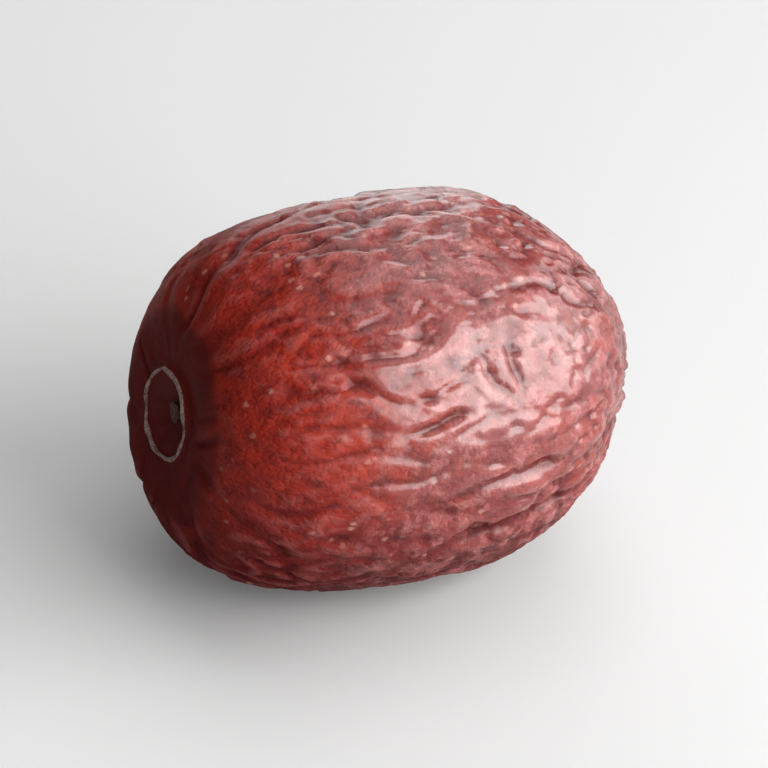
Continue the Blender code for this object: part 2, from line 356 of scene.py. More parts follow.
@dataclass(frozen=True)
class Folds:
    """The folds that the solid has too: depths and sizes in millimetres, and folds in their own places."""

    dent: float = 0.45
    dent_size: Triple = (13, 9, 9)
    dent_rise: Span = (-1.0, -0.8)
    groove: float = 0.23
    groove_size: Triple = (10.0, 2.9, 2.9)
    groove_wander: Wander = Wander(5.0, 1.3, (1.2, 5.5, 9.1))
    groove_patches: Patches = Patches((9, 7, 7), (21.3, 4.2, 0.5), (-0.30, 0.20))
    crease: float = 0.15
    crease_size: Triple = (4.2, 2.0, 2.0)
    crease_wander: Wander = Wander(2.4, 0.8, (4.4, 2.5, 6.1))
    crease_patches: Patches = Patches((3.8, 3.0, 3.0), (8.3, 6.0, 1.0), (-0.15, 0.20))
    cell: float = 0.21
    cell_size: Triple = (3.4, 2.0, 2.0)
    cell_wander: Wander = Wander(2.6, 1.1, (7, 1, 4))
    cell_patches: Patches = Patches((7, 5.5, 5.5), (2.3, 14.2, 30.5), (-0.25, 0.30))
    ray: float = 0.27
    ray_crowding: float = 2.3
    ray_stretch: float = 0.14
    ray_start: Span = (0.4, 2.0)
    ray_end: Span = (11.0, 7.5)
    ray_wander: Wander = Wander(3.0, 0.9, (2.2, 8.0, 5.5))
    ray_patches: Patches = Patches((5, 4, 4), (11.3, 2.0, 9.5), (-0.2, 0.25))
    placed_wander: Wander = Wander(2.5, 0.45, (11.0, 3.0, 6.0))
    placed: tuple[Fold, ...] = (
        Fold(-1.5, 180, 6.5, 175, 0.42, 0.34),
        Fold(-1.8, 200, 9.2, 192, 0.45, 0.38),
        Fold(-5.0, 159, -0.8, 156, 0.36, 0.34),
        Fold(-0.6, 136, 2.3, 156, 0.28, 0.20),
        Fold(2.0, 133, 2.7, 153, 0.34, 0.26),
        Fold(-2.6, 126, -3.3, 135, 0.50, 0.20),
        Fold(-8.1, 64, 0.9, 70, 0.40, 0.28),
        Fold(-9.2, 92, -2.6, 101, 0.35, 0.20),
    )

    def dents(self, form: Form, points: np.ndarray) -> np.ndarray:
        """Return the broad unevenness of the fruit, which leaves the stem end alone."""
        kept = smoothstep(*self.dent_rise, form.along(points))
        return self.dent * grain(points, self.dent_size, (3.1, 0.4, 7.7)) * kept

    def rays(self, form: Form, points: np.ndarray) -> np.ndarray:
        """Return the height of the shallow folds that run outwards from the stem ring."""
        angle, radius = form.ring_axis(self.ray_wander.of(points))
        places = ray_places(angle, radius, self.ray_crowding, self.ray_stretch)
        start, full = (form.ring_radius + beyond for beyond in self.ray_start)
        reach = smoothstep(start, full, radius) * smoothstep(*self.ray_end, radius)
        deep = at_least(0.35, self.ray_patches.of(points))
        depth = self.ray * furrow(grain(places, (1, 1, 1), (5.1, 2.0, 3.3)), 0.15) * deep * reach
        return np.where(points[:, 0] < 0, -depth, 0.0)

    def wrinkles(self, form: Form, points: np.ndarray) -> np.ndarray:
        """Return how far the folds of the solid stand out at each point of the smooth body."""
        creased = form.wrinkled_share(points) * form.uncalmed_share(points)
        places = form.along_skin(points)

        grooves = grain(self.groove_wander.of(places), self.groove_size, (0.3, 11.0, 2.0))
        grooved = at_least(0.25, self.groove_patches.of(places))
        height = -self.groove * furrow(grooves, 0.13) * grooved * creased

        creases = grain(self.crease_wander.of(places), self.crease_size, (14.3, 1.0, 6.0))
        height -= self.crease * furrow(creases, 0.16) * self.crease_patches.of(places) * creased

        plates = cells(self.cell_wander.of(places), self.cell_size, (5.0, 2.0, 8.0))
        sunken = at_least(0.2, plates.draw) * at_least(0.4, self.cell_patches.of(places))
        height -= self.cell * smoothstep(0.0, 0.45, plates.border) * sunken * creased

        wandering = self.placed_wander.of(points)
        return height + sum(fold.height(form, wandering) for fold in self.placed) + self.rays(form, points)


@dataclass(frozen=True)
class FineWrinkles:
    """Depths and sizes in millimetres of the wrinkles that only this skin has."""

    crease: float = 0.070
    crease_size: Triple = (2.0, 0.95, 0.95)
    crease_patches: Patches = Patches((2.8, 2.0, 2.0), (18.3, 26.0, 11.0), (-0.15, 0.20))
    net: float = 0.075
    net_size: Triple = (1.4, 0.8, 0.8)
    pit: float = 0.120
    pit_size: Triple = (1.9, 1.2, 1.2)
    pimple: float = 0.055
    pimple_size: Triple = (0.95, 0.75, 0.75)
    pimple_patches: Patches = Patches((5.0, 4.0, 4.0), (3.0, 46.0, 12.0), (-0.05, 0.25))
    dish_ray: float = 0.07
    cap_ray: float = 0.045
    cap_ripple: float = 0.015
    ray_crowding: float = 3.2
    ray_stretch: float = 0.25
    cap_edge: Span = (-0.70, -0.90)
    calm_share: float = 0.5
    wander: Wander = Wander(1.0, 0.4, (3, 8, 2))
    placed_wander: Wander = Wander(1.5, 0.4, (2.0, 13.0, 6.0))
    placed: tuple[Fold, ...] = (
        Fold(-1.8, 144, -0.2, 140, 0.20, 0.12),
        Fold(-4.2, 148, -2.3, 152, 0.20, 0.11),
        Fold(7.4, 149, 9.0, 141, 0.22, 0.12),
        Fold(8.2, 165, 9.7, 159, 0.22, 0.12),
        Fold(7.6, 132, 9.3, 126, 0.20, 0.11),
        Fold(3.0, 186, 8.8, 184, 0.22, 0.13),
        Fold(-4.5, 84, 3.5, 86, 0.24, 0.13),
        Fold(-6.0, 76, 5.5, 79, 0.22, 0.12),
        Fold(-3.5, 112, -0.5, 117, 0.22, 0.10),
    )

    def height(self, form: Form, points: np.ndarray) -> np.ndarray:
        """Return the height that the fine wrinkles add at each point of the smooth body."""
        calm = form.calmness(points, form.calm_places[0])
        creased = form.wrinkled_share(points) * (1 - self.calm_share * calm)
        places = self.wander.of(form.along_skin(points))

        creases = grain(places, self.crease_size, (4.3, 31.0, 16.0))
        height = -self.crease * furrow(creases, 0.17) * self.crease_patches.of(points) * creased

        net = cells(places, self.net_size, (1.0, 7.0, 3.0))
        height -= self.net * smoothstep(0.0, 0.35, net.border) * at_least(0.1, net.draw) * creased

        pits = cells(places, self.pit_size, (12.0, 5.0, 21.0))
        height -= self.pit * bell(pits.inside, 0.22) * smoothstep(0.25, 0.75, pits.draw) * creased

        pimples = cells(places, self.pimple_size, (32.0, 15.0, 1.0))
        crowded = smoothstep(0.50, 0.70, pimples.draw) * self.pimple_patches.of(points)
        height += self.pimple * bell(pimples.inside, 0.24) * crowded * creased

        wandering = self.placed_wander.of(points)
        height += sum(fold.height(form, wandering) for fold in self.placed)
        return height + self._stem_end(form, points)

    def _stem_end(self, form: Form, points: np.ndarray) -> np.ndarray:
        """Return the height of the faint rays in the dish and round the ring, and of the ripples."""
        radius = form.ring_distance(points)
        rays = ray_places(form.ring_axis(points)[0], radius, self.ray_crowding, self.ray_stretch)
        inside = smoothstep(form.ring_radius, form.ring_radius - 0.5, radius) * smoothstep(0.4, 1.2, radius)
        height = self.dish_ray * grain(rays, (1, 1, 1), (9.0, 2.0, 5.0)) * inside * (points[:, 0] < 0)
        outside = smoothstep(form.ring_radius + 0.3, form.ring_radius + 1.3, radius) * (points[:, 0] < 0)
        fading = outside * smoothstep(*self.cap_edge, form.along(points))
        height += self.cap_ray * grain(rays, (0.55, 0.55, 0.55), (1.0, 22.0, 7.0)) * fading
        height += self.cap_ripple * grain(points, (1.2, 1.2, 1.2), (7.0, 7.0, 1.0)) * (1 - inside)
        return height


class Wire:
    """A value on its way between nodes; Python's operators on it add Math nodes."""

    def __init__(self, bench: "Bench", socket: bpy.types.NodeSocket) -> None:
        """Keep the socket that carries the value."""
        self.bench = bench
        self.socket = socket

    def __add__(self, other: Value) -> "Wire":
        """Return self + other."""
        return self.bench.maths('ADD', self, other)

    __radd__ = __add__

    def __mul__(self, other: Value) -> "Wire":
        """Return self * other."""
        return self.bench.maths('MULTIPLY', self, other)

    __rmul__ = __mul__

    def __sub__(self, other: Value) -> "Wire":
        """Return self - other."""
        return self.bench.maths('SUBTRACT', self, other)

    def __rsub__(self, other: Value) -> "Wire":
        """Return other - self."""
        return self.bench.maths('SUBTRACT', other, self)

    def __pow__(self, power: Value) -> "Wire":
        """Return self raised to a power."""
        return self.bench.maths('POWER', self, power)

    def over(self, low: float, high: float) -> "Wire":
        """Return 0 below low and 1 above high, with a smooth rise between; low may be the larger."""
        return self.bench.node('ShaderNodeMapRange', {'interpolation_type': 'SMOOTHSTEP'},
                               {'Value': self, 'From Min': low, 'From Max': high})


class Mottle(NamedTuple):
    """One layer of blotches: its size in millimetres, its noise, what it rises between, its start."""

    size: float
    detail: float
    roughness: float
    rise: Span
    shift: Triple = (0.0, 0.0, 0.0)


class Bench:
    """One material and the nodes that are wired into it."""

    def __init__(self, name: str) -> None:
        """Start a material that has only its Principled shader and its output."""
        self.material = bpy.data.materials.new(name)
        self.material.use_nodes = True
        self.tree = self.material.node_tree
        self.shader = self.tree.nodes["Principled BSDF"]

    def node(self, kind: str, settings: Optional[dict] = None, values: Optional[dict] = None,
             output: Union[int, str] = 0) -> Wire:
        """Add a node.

        Args:
            kind: the node's type.
            settings: properties of the node, set before its sockets; 'stops' are a ramp's stops.
            values: for each input, by name or number, a wire or a fixed value.
            output: which output is wanted.

        Returns:
            The wire from that output.
        """
        made = self.tree.nodes.new(kind)
        for name, setting in (settings or {}).items():
            if name == 'stops':
                self._set_stops(made.color_ramp, setting)
            else:
                setattr(made, name, setting)
        for name, value in (values or {}).items():
            self.feed(made.inputs[name], value)
        return Wire(self, made.outputs[output])

    @staticmethod
    def _set_stops(ramp: bpy.types.ColorRamp, stops: Sequence[tuple[float, Colour]]) -> None:
        """Give a colour ramp its stops."""
        while len(ramp.elements) < len(stops):
            ramp.elements.new(1.0)
        for element, (place, colour) in zip(ramp.elements, stops):
            element.position = place
            element.color = (*colour, 1.0)

    def feed(self, socket: bpy.types.NodeSocket, value: Value) -> None:
        """Link a wire to an input, or set the input's own value."""
        if isinstance(value, Wire):
            self.tree.links.new(value.socket, socket)
        elif socket.type == 'RGBA' and len(value) == 3:
            socket.default_value = (*value, 1.0)
        else:
            socket.default_value = value

    def maths(self, operation: str, *values: Value) -> Wire:
        """Return the result of a Math node."""
        return self.node('ShaderNodeMath', {'operation': operation}, dict(enumerate(values)))

    def mix(self, share: Value, first: Value, second: Value) -> Wire:
        """Return a colour between two colours, the second where the share is 1."""
        settings = {'data_type': 'RGBA', 'clamp_factor': True}
        return self.node('ShaderNodeMix', settings, {0: share, 6: first, 7: second}, output=2)

    def millimetres(self) -> Wire:
        """Return the place on the piece in millimetres."""
        place = self.node('ShaderNodeTexCoord', output='Object')
        return self.scaled(place, (1 / METRES_PER_MM,) * 3)

    def scaled(self, place: Wire, factors: Sequence[float]) -> Wire:
        """Return a place with each of its coordinates multiplied."""
        return self.node('ShaderNodeVectorMath', {'operation': 'MULTIPLY'}, {0: place, 1: factors})

    def shifted(self, place: Wire, by: Sequence[float]) -> Wire:
        """Return a place moved by a fixed amount."""
        return self.node('ShaderNodeVectorMath', {'operation': 'ADD'}, {0: place, 1: by})

    def attribute(self, mark: "Mark", output: str = 'Fac') -> Wire:
        """Return a value that the mesh carries."""
        return self.node('ShaderNodeAttribute', {'attribute_name': mark.value}, output=output)

    def noise(self, place: Wire, size: float, detail: float = 2.0, roughness: float = 0.5) -> Wire:
        """Return noise from 0 to 1 whose features are about that many millimetres apart."""
        values = {'Vector': place, 'Scale': 1 / size, 'Detail': detail, 'Roughness': roughness}
        return self.node('ShaderNodeTexNoise', {}, values)

    def mottle(self, place: Wire, layer: Mottle) -> Wire:
        """Return one layer of blotches, from 0 to 1."""
        moved = self.shifted(place, layer.shift)
        return self.noise(moved, layer.size, layer.detail, layer.roughness).over(*layer.rise)

    def centred(self, place: Wire, size: float, detail: float, roughness: float) -> Wire:
        """Return noise with its middle at 0."""
        return self.noise(place, size, detail, roughness) - 0.5

    def pebbles(self, place: Wire, size: float, feature: str = 'F1', output: str = 'Distance') -> Wire:
        """Return a Voronoi pattern whose cells are about that many millimetres across."""
        values = {'Vector': place, 'Scale': 1 / size}
        return self.node('ShaderNodeTexVoronoi', {'feature': feature}, values, output)

    def relief(self, height: Wire) -> Wire:
        """Return a normal bent by a height in millimetres."""
        values = {'Height': height, 'Distance': METRES_PER_MM, 'Strength': 1.0}
        return self.node('ShaderNodeBump', {}, values)

    def finish(self, varying: dict, fixed: dict) -> bpy.types.Material:
        """Feed the shader and return the material.

        Args:
            varying: wires for the inputs that change over the surface.
            fixed: values for the inputs that are the same all over.
        """
        for name, value in {**varying, **fixed}.items():
            self.feed(self.shader.inputs[name], value)
        return self.material


class Mark(str, Enum):
    """Values that the skin's mesh carries for its finish."""

    HOLLOW = "hollow"
    CREASE_SHADE = "crease_shade"
    CREST = "crest"
    CALM = "calm"
    PAINTED_HIGHLIGHT = "painted_highlight"
    CAP = "cap"
    DISH = "dish"
    WAXY = "waxy"
    LOW = "low"
    UNROLLED = "unrolled"


@dataclass(frozen=True)
class SkinFinish:
    """Dried jujube skin: mottled maroon and brick red, waxy on its sides, plum and dull at the stem end;
    the plum is partly painted shade, and the colour carries more painted shade and a painted highlight.
    """

    maroon: Colour = (0.080, 0.0085, 0.0085)
    brick: Colour = (0.150, 0.0145, 0.0100)
    orange: Colour = (0.225, 0.027, 0.012)
    wine: Colour = (0.036, 0.0035, 0.004)
    plum: Colour = (0.066, 0.0085, 0.0075)
    dish: Colour = (0.075, 0.0150, 0.0140)
    dust_and_highlight: Colour = (0.245, 0.080, 0.075)
    speck: Colour = (0.400, 0.195, 0.150)
    ember: Colour = (0.215, 0.014, 0.006)
    blotches: Mottle = Mottle(5.5, 3, 0.6, (0.38, 0.62))
    flecks: Mottle = Mottle(1.1, 5, 0.68, (0.42, 0.66), (31.0, 5.0, 9.0))
    warmth: Mottle = Mottle(2.2, 4, 0.65, (0.48, 0.70), (7.0, 40.0, 3.0))
    scuffs: Mottle = Mottle(1.3, 5, 0.66, (0.50, 0.61), (2.0, 11.0, 60.0))
    freckles: Mottle = Mottle(0.9, 4, 0.65, (0.52, 0.63), (25.0, 1.0, 6.0))
    clusters: Mottle = Mottle(4.0, 2, 0.5, (0.40, 0.62), (60.0, 3.0, 1.0))
    worn: Mottle = Mottle(2.4, 4, 0.6, (0.25, 0.60), (15.0, 2.0, 44.0))
    streak: Triple = (0.8, 1.0, 1.0)
    speck_spacing: float = 0.95
    speck_height: float = 0.02
    net_size: float = 0.42
    net_height: float = 0.034
    fine_size: float = 0.5
    fine_height: float = 0.080
    cap_height: float = 0.028
    pore_spacing: float = 0.6
    pore_depth: float = 0.012
    roughness: float = 0.38
    coat_roughness: float = 0.25
    coat_ior: float = 1.55

    def make(self) -> bpy.types.Material:
        """Return the skin's material."""
        bench = Bench("jujube_skin")
        place = bench.millimetres()
        run = bench.attribute(Mark.UNROLLED, 'Vector')
        specks = self._specks(bench, place)
        varying = {"Base Color": self._colour(bench, place, run, specks),
                   "Roughness": self._roughness(bench, place),
                   "Coat Weight": self._gloss(bench, place),
                   "Normal": bench.relief(self._height(bench, place, run, specks))}
        fixed = {"Metallic": 0.0, "Specular IOR Level": 0.0, "Coat Roughness": self.coat_roughness,
                 "Coat IOR": self.coat_ior}
        return bench.finish(varying, fixed)

    def _specks(self, bench: Bench, place: Wire) -> Wire:
        """Return the small corky dots, on some of the cells of a random pattern and mostly in clusters."""
        longish = bench.scaled(place, self.streak)
        cell_colour = bench.pebbles(longish, self.speck_spacing, output='Color')
        draw = bench.node('ShaderNodeSeparateColor', {}, {0: cell_colour})
        ragged = bench.centred(place, 0.3, 3, 0.6) * 0.30
        dots = (bench.pebbles(longish, self.speck_spacing) + ragged).over(0.27, 0.06)
        crowded = draw.over(0.40, 0.75) * bench.mottle(place, self.clusters)
        return dots * crowded * (1 - bench.attribute(Mark.CAP))

    def _colour(self, bench: Bench, place: Wire, run: Wire, specks: Wire) -> Wire:
        """Return the mottled colour, with painted shade in the hollows, creases and underside, paler
        crests, a painted highlight on two patches and the plum cap, which is partly painted shade.
        """
        hollow, crease_shade, crest, calm, painted_highlight, cap, dish, waxy, low = map(bench.attribute, (
            Mark.HOLLOW, Mark.CREASE_SHADE, Mark.CREST, Mark.CALM, Mark.PAINTED_HIGHLIGHT,
            Mark.CAP, Mark.DISH, Mark.WAXY, Mark.LOW))
        blotches, warm, scuffs, freckles = (bench.mottle(place, layer) for layer in (
            self.blotches, self.warmth, self.scuffs, self.freckles))
        flecks = bench.mottle(bench.scaled(run, self.streak), self.flecks)
        colour = bench.mix(blotches, self.maroon, self.brick)
        colour = bench.mix(warm * 0.65 + calm * 0.45, colour, self.orange)
        colour = bench.mix((1 - waxy) * (0.48 + 0.4 * warm), colour, self.ember)
        # Darker towards the bottom: painted shade on the underside, mixed with the real darker flecks.
        colour = bench.mix(flecks * 0.45 + low * 0.8, colour, self.maroon)
        # Painted shade: the deep hollows and the underside darken to wine, mixed with the real freckles.
        colour = bench.mix(hollow * 0.45 + freckles * 0.42 + low * 0.20, colour, self.wine)
        # Paler on the crests and in scuffs, and a painted highlight on the two patches.
        dust_and_highlight = crest * 0.22 + scuffs * 0.50 * at_least(0.06, waxy) + painted_highlight * 0.30
        colour = bench.mix(dust_and_highlight, colour, self.dust_and_highlight)
        # Painted shade in the small creases.
        colour = bench.mix(crease_shade * 0.40, colour, self.wine)
        colour = bench.mix(specks * 0.55, colour, self.speck)
        # The stem end turns plum: partly its own plum-brown colour, partly painted shade of the end turned
        # from the light.
        ragged_cap = (cap + bench.centred(place, 1.4, 4, 0.65) * 0.7).over(0.20, 0.80)
        colour = bench.mix(ragged_cap * at_least(0.72, blotches), colour, self.plum)
        return bench.mix(dish * 0.7, colour, self.dish)

    def _height(self, bench: Bench, place: Wire, run: Wire, specks: Wire) -> Wire:
        """Return the relief that is too fine for the mesh, in millimetres."""
        wrinkled = 1 - bench.attribute(Mark.CAP)
        streaky = bench.scaled(run, self.streak)
        net = bench.pebbles(streaky, self.net_size, 'DISTANCE_TO_EDGE').over(0.0, 0.28)
        fine = bench.noise(bench.scaled(run, (0.75, 1.0, 1.0)), self.fine_size, 4, 0.6)
        pores = bench.pebbles(place, self.pore_spacing).over(0.16, 0.05)
        height = wrinkled * (fine * self.fine_height + net * self.net_height) + fine * self.cap_height
        return height + specks * self.speck_height - pores * self.pore_depth

    def _roughness(self, bench: Bench, place: Wire) -> Wire:
        """Return the roughness: worn smooth on crests, dull in hollows and on the cap."""
        patches = bench.centred(place, 1.6, 4, 0.6) * 0.20
        dull = bench.attribute(Mark.CAP) * 0.20 + bench.attribute(Mark.HOLLOW) * 0.10
        return patches + self.roughness + dull - bench.attribute(Mark.CREST) * 0.06

    def _gloss(self, bench: Bench, place: Wire) -> Wire:
        """Return how much of the waxy coat is left: patchy on the sides and gone from the cap."""
        kept = (1 - 0.6 * bench.attribute(Mark.CAP)) * (1 - 0.5 * bench.attribute(Mark.HOLLOW))
        waxy = at_least(0.16, bench.attribute(Mark.WAXY)) * (1 - 0.75 * bench.attribute(Mark.LOW))
        return kept * waxy * at_least(0.55, bench.mottle(place, self.worn))


@dataclass(frozen=True)
class CorkFinish:
    """Dry pale cork, as on the stem ring and the scars."""

    name: str = "jujube_cork"
    pale: Colour = (0.25, 0.165, 0.145)
    dark: Colour = (0.060, 0.026, 0.022)
    grain_size: float = 0.16

    def make(self) -> bpy.types.Material:
        """Return the cork's material."""
        bench = Bench(self.name)
        place = bench.millimetres()
        rough = bench.noise(place, self.grain_size, 4, 0.7)
        patches = bench.noise(place, self.grain_size * 4, 3)
        colour = bench.mix((rough * 0.6 + patches * 0.4).over(0.36, 0.60), self.dark, self.pale)
        return bench.finish({"Base Color": colour, "Normal": bench.relief(rough * 0.05)},
                            {"Roughness": 0.75, "Metallic": 0.0, "Specular IOR Level": 0.3})


@dataclass(frozen=True)
class FloorFinish:
    """Matt pale board with the faintest unevenness."""

    pale: Colour = (0.44, 0.44, 0.44)

    def make(self) -> bpy.types.Material:
        """Return the floor's material."""
        bench = Bench("pale_board")
        place = bench.millimetres()
        tone = bench.noise(place, 60.0, 2)
        colour = bench.mix(tone * 0.5, self.pale, tuple(0.95 * part for part in self.pale))
        return bench.finish({"Base Color": colour}, {"Roughness": 0.9, "Specular IOR Level": 0.2})


class Model:
    """Steps that every piece is modelled with."""

    @staticmethod
    def start(name: str, add: Callable, **sizes: float) -> bpy.types.Object:
        """Add a primitive with nothing else selected and name it."""
        bpy.ops.object.select_all(action='DESELECT')
        add(**sizes)
        piece = bpy.context.view_layer.objects.active
        piece.name = name
        piece.data.name = name
        return piece

    @staticmethod
    def points(piece: bpy.types.Object, kind: str = "co") -> np.ndarray:
        """Return the places of a mesh's vertices, or their normals, one row each."""
        flat = np.empty(len(piece.data.vertices) * 3)
        piece.data.vertices.foreach_get(kind, flat)
        return flat.reshape(-1, 3)

    @staticmethod
    def move(piece: bpy.types.Object, points: np.ndarray) -> None:
        """Put a mesh's vertices where the points are."""
        piece.data.vertices.foreach_set("co", points.ravel())
        piece.data.update()

    @staticmethod
    def mark(piece: bpy.types.Object, mark: Mark, values: np.ndarray) -> None:
        """Store one number, or one vector, for each vertex."""
        kind, key = ('FLOAT', "value") if values.ndim == 1 else ('FLOAT_VECTOR', "vector")
        store = piece.data.attributes.new(mark.value, kind, 'POINT')
        store.data.foreach_set(key, values.astype(np.float32).ravel())

    @staticmethod
    def face_outwards(piece: bpy.types.Object) -> None:
        """Make every face of one piece point outwards."""
        bpy.context.view_layer.objects.active = piece
        bpy.ops.object.mode_set(mode='EDIT')
        bpy.ops.mesh.select_all(action='SELECT')
        bpy.ops.mesh.normals_make_consistent(inside=False)
        bpy.ops.object.mode_set(mode='OBJECT')

    @staticmethod
    def finish(piece: bpy.types.Object, material: bpy.types.Material, slot: Optional[str] = None) -> None:
        """Give a piece its material and smooth shading, and attach it to the body."""
        piece.data.materials.clear()
        piece.data.materials.append(material)
        piece.data.shade_smooth()
        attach(piece, BODY)
        LOG.info("%s: %d faces", piece.name, len(piece.data.polygons))


@dataclass
class DriedSkin:
    """The fruit's skin, closed all round and flat where it lies."""

    form: Form = field(default_factory=Form)
    folds: Folds = field(default_factory=Folds)
    fine: FineWrinkles = field(default_factory=FineWrinkles)
    sides: int = 412
    rings: int = 232
    ring_crowding: float = 1.2
    levelling_steps: int = 14
    # Two patches where the colour is lightened into a painted highlight.
    painted_highlight_places: tuple[Calm, ...] = (Calm(2.5, 158, 6.5), Calm(1.0, 90, 6.0))
    hollow_heights: Span = (-0.12, -0.38)
    crease_shade_heights: Span = (-0.015, -0.075)
    crest_heights: Span = (0.008, 0.050)
    cap_edge: Span = (7.2, 5.2)
    dish_edge: Span = (2.6, 2.2)
    waxy_along: Span = (-0.80, -0.05)
    low_heights: Span = (0.15, -0.70)
    placing: Matrix = field(default_factory=Matrix, init=False)
    tip_pole: np.ndarray = field(default_factory=lambda: np.zeros(3), init=False)

    def build(self, finish: SkinFinish) -> bpy.types.Object:
        """Model the skin, dress it and let it replace the solid."""
        skin = Model.start("jujube_skin", bpy.ops.mesh.primitive_uv_sphere_add,
                           segments=self.sides, ring_count=self.rings, radius=1.0)
        self._shape_body(skin)
        self._raise_wrinkles(skin)
        self._lay_down(skin)
        Model.finish(skin, finish.make(), SKIN_SLOT)
        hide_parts(NODE)
        return skin

    def _shape_body(self, skin: bpy.types.Object) -> None:
        """Stretch the ball to the fruit's turned body, pole to pole along X."""
        ball = Model.points(skin)
        x, radius = self.form.half_outline(self.rings + 1, self.ring_crowding)
        polar = np.arccos(np.clip(ball[:, 2], -1.0, 1.0))
        station = np.rint(polar / math.pi * self.rings).astype(int)
        around = np.arctan2(ball[:, 1], ball[:, 0])
        Model.move(skin, np.stack((x[station], radius[station] * np.cos(around),
                                   radius[station] * np.sin(around)), axis=1))
        Model.face_outwards(skin)

    def _raise_wrinkles(self, skin: bpy.types.Object) -> None:
        """Move the skin to its wrinkled shape and mark it for its finish."""
        form = self.form
        points = Model.points(skin)
        wrinkles = self.folds.wrinkles(form, points) + self.fine.height(form, points)
        self._mark(skin, points, wrinkles)
        raised = self.folds.dents(form, points) + wrinkles
        moved = points + raised[:, None] * Model.points(skin, "normal")
        moved[:, 0] += form.stem_end_push(points) + form.tip_push(points)
        self.tip_pole = moved[np.argmax(points[:, 0])]
        Model.move(skin, moved)

    def _mark(self, skin: bpy.types.Object, points: np.ndarray, wrinkles: np.ndarray) -> None:
        """Mark the skin for its finish."""
        form = self.form
        radius = form.ring_distance(points)
        stem_side = points[:, 0] < 0
        local = wrinkles - self._levelled(points, wrinkles)
        # The hollow, crease and low marks carry painted shade into the colour, the two patches a painted
        # highlight, and the cap mark partly painted shade.
        marks = {
            Mark.HOLLOW: smoothstep(*self.hollow_heights, wrinkles),
            Mark.CREASE_SHADE: smoothstep(*self.crease_shade_heights, local),
            Mark.CREST: smoothstep(*self.crest_heights, local),
            Mark.CALM: form.calmness(points, form.calm_places[0]),
            Mark.PAINTED_HIGHLIGHT: sum(form.calmness(points, place) for place in self.painted_highlight_places),
            Mark.CAP: np.where(stem_side, smoothstep(*self.cap_edge, radius), 0.0),
            Mark.DISH: np.where(stem_side, smoothstep(*self.dish_edge, radius), 0.0),
            Mark.WAXY: smoothstep(*self.waxy_along, form.along(points)),
            # The underside, for its painted shade and its thinner coat.
            Mark.LOW: smoothstep(*self.low_heights, points[:, 2] / (form.diameter / 2)),
            Mark.UNROLLED: form.along_skin(points),
        }
        for mark, values in marks.items():
            Model.mark(skin, mark, values)

    def _levelled(self, points: np.ndarray, height: np.ndarray) -> np.ndarray:
        """Return the height averaged over about a millimetre round each point."""
        around = np.arctan2(points[:, 2], points[:, 1]) / (2 * math.pi) * self.sides
        column = np.rint(around).astype(int) % self.sides
        row = np.zeros(len(points), dtype=int)
        row[np.argsort(points[:, 0], kind='stable')] = np.arange(len(points))
        row = np.clip((row - 1) // self.sides + 1, 0, self.rings)
        sheet = np.full((self.rings + 1, self.sides), height.mean())
        sheet[row, column] = height
        for _ in range(self.levelling_steps):
            padded = np.vstack((sheet[:1], sheet, sheet[-1:]))
            sheet = (padded[:-2] + padded[2:] + np.roll(sheet, 1, axis=1) + np.roll(sheet, -1, axis=1)) / 4
        return sheet[row, column]

    def _lay_down(self, skin: bpy.types.Object) -> None:
        """Tip the fruit as it lies, cut its flat spot and put it in the solid's place."""
        tipped = Matrix.Rotation(self.form.lying_angle, 4, 'Y')
        skin.data.transform(tipped)
        cut = float(Model.points(skin)[:, 2].min()) + self.form.flat_spot_depth
        bpy.context.view_layer.objects.active = skin
        bpy.ops.object.mode_set(mode='EDIT')
        bpy.ops.mesh.select_all(action='SELECT')
        bpy.ops.mesh.bisect(plane_co=(0, 0, cut), plane_no=(0, 0, 1), use_fill=True, clear_inner=True)
        bpy.ops.object.mode_set(mode='OBJECT')
        points = Model.points(skin)
        middle = (points.min(axis=0) + points.max(axis=0)) / 2
        low, high = (Vector(corner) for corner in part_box(NODE))
        target = (low + high) / 2
        to_metres = Matrix.Scale(METRES_PER_MM, 4)
        to_origin = Matrix.Translation((-middle[0], -middle[1], -cut))
        home = Matrix.Translation((target.x, target.y, low.z)) @ to_metres @ to_origin
        skin.data.transform(home)
        self.placing = home @ tipped


@dataclass
class StemRing:
    """The thin rim of cork round the dish at the stem end."""

    skin: DriedSkin
    half_width: float = 0.14
    proud: float = 0.10
    raggedness: float = 0.5
    grain_size: float = 0.6
    sides: int = 240
    section_sides: int = 12

    def build(self, finish: CorkFinish) -> bpy.types.Object:
        """Model the ring on the crest of the skin's own rim."""
        form = self.skin.form
        ring = Model.start("stem_ring", bpy.ops.mesh.primitive_torus_add, major_segments=self.sides,
                           minor_segments=self.section_sides, major_radius=form.ring_radius,
                           minor_radius=self.half_width)
        flat = Model.points(ring)
        angle = np.arctan2(flat[:, 1], flat[:, 0])
        circle = np.stack((np.cos(angle), np.sin(angle), 0 * angle), axis=1) * form.ring_radius
        rough = self.raggedness * grain(circle, (self.grain_size,) * 3, (4.0, 1.0, 2.0))
        ragged = form.ring_swell(angle) * (1 + rough)
        crest = form.ring_radius * form.ring_wobble(angle)
        radius = crest + (np.hypot(flat[:, 0], flat[:, 1]) - form.ring_radius) * ragged
        on_crest = np.stack((0 * angle, crest * np.cos(angle),
                             form.ring_rise + crest * np.sin(angle)), axis=1)
        lift = flat[:, 2] / self.half_width * self.proud * ragged
        Model.move(ring, np.stack((form.stem_face(on_crest) - lift, radius * np.cos(angle),
                                   form.ring_rise + radius * np.sin(angle)), axis=1))
        ring.data.transform(self.skin.placing)
        Model.face_outwards(ring)
        Model.finish(ring, finish.make())
        return ring


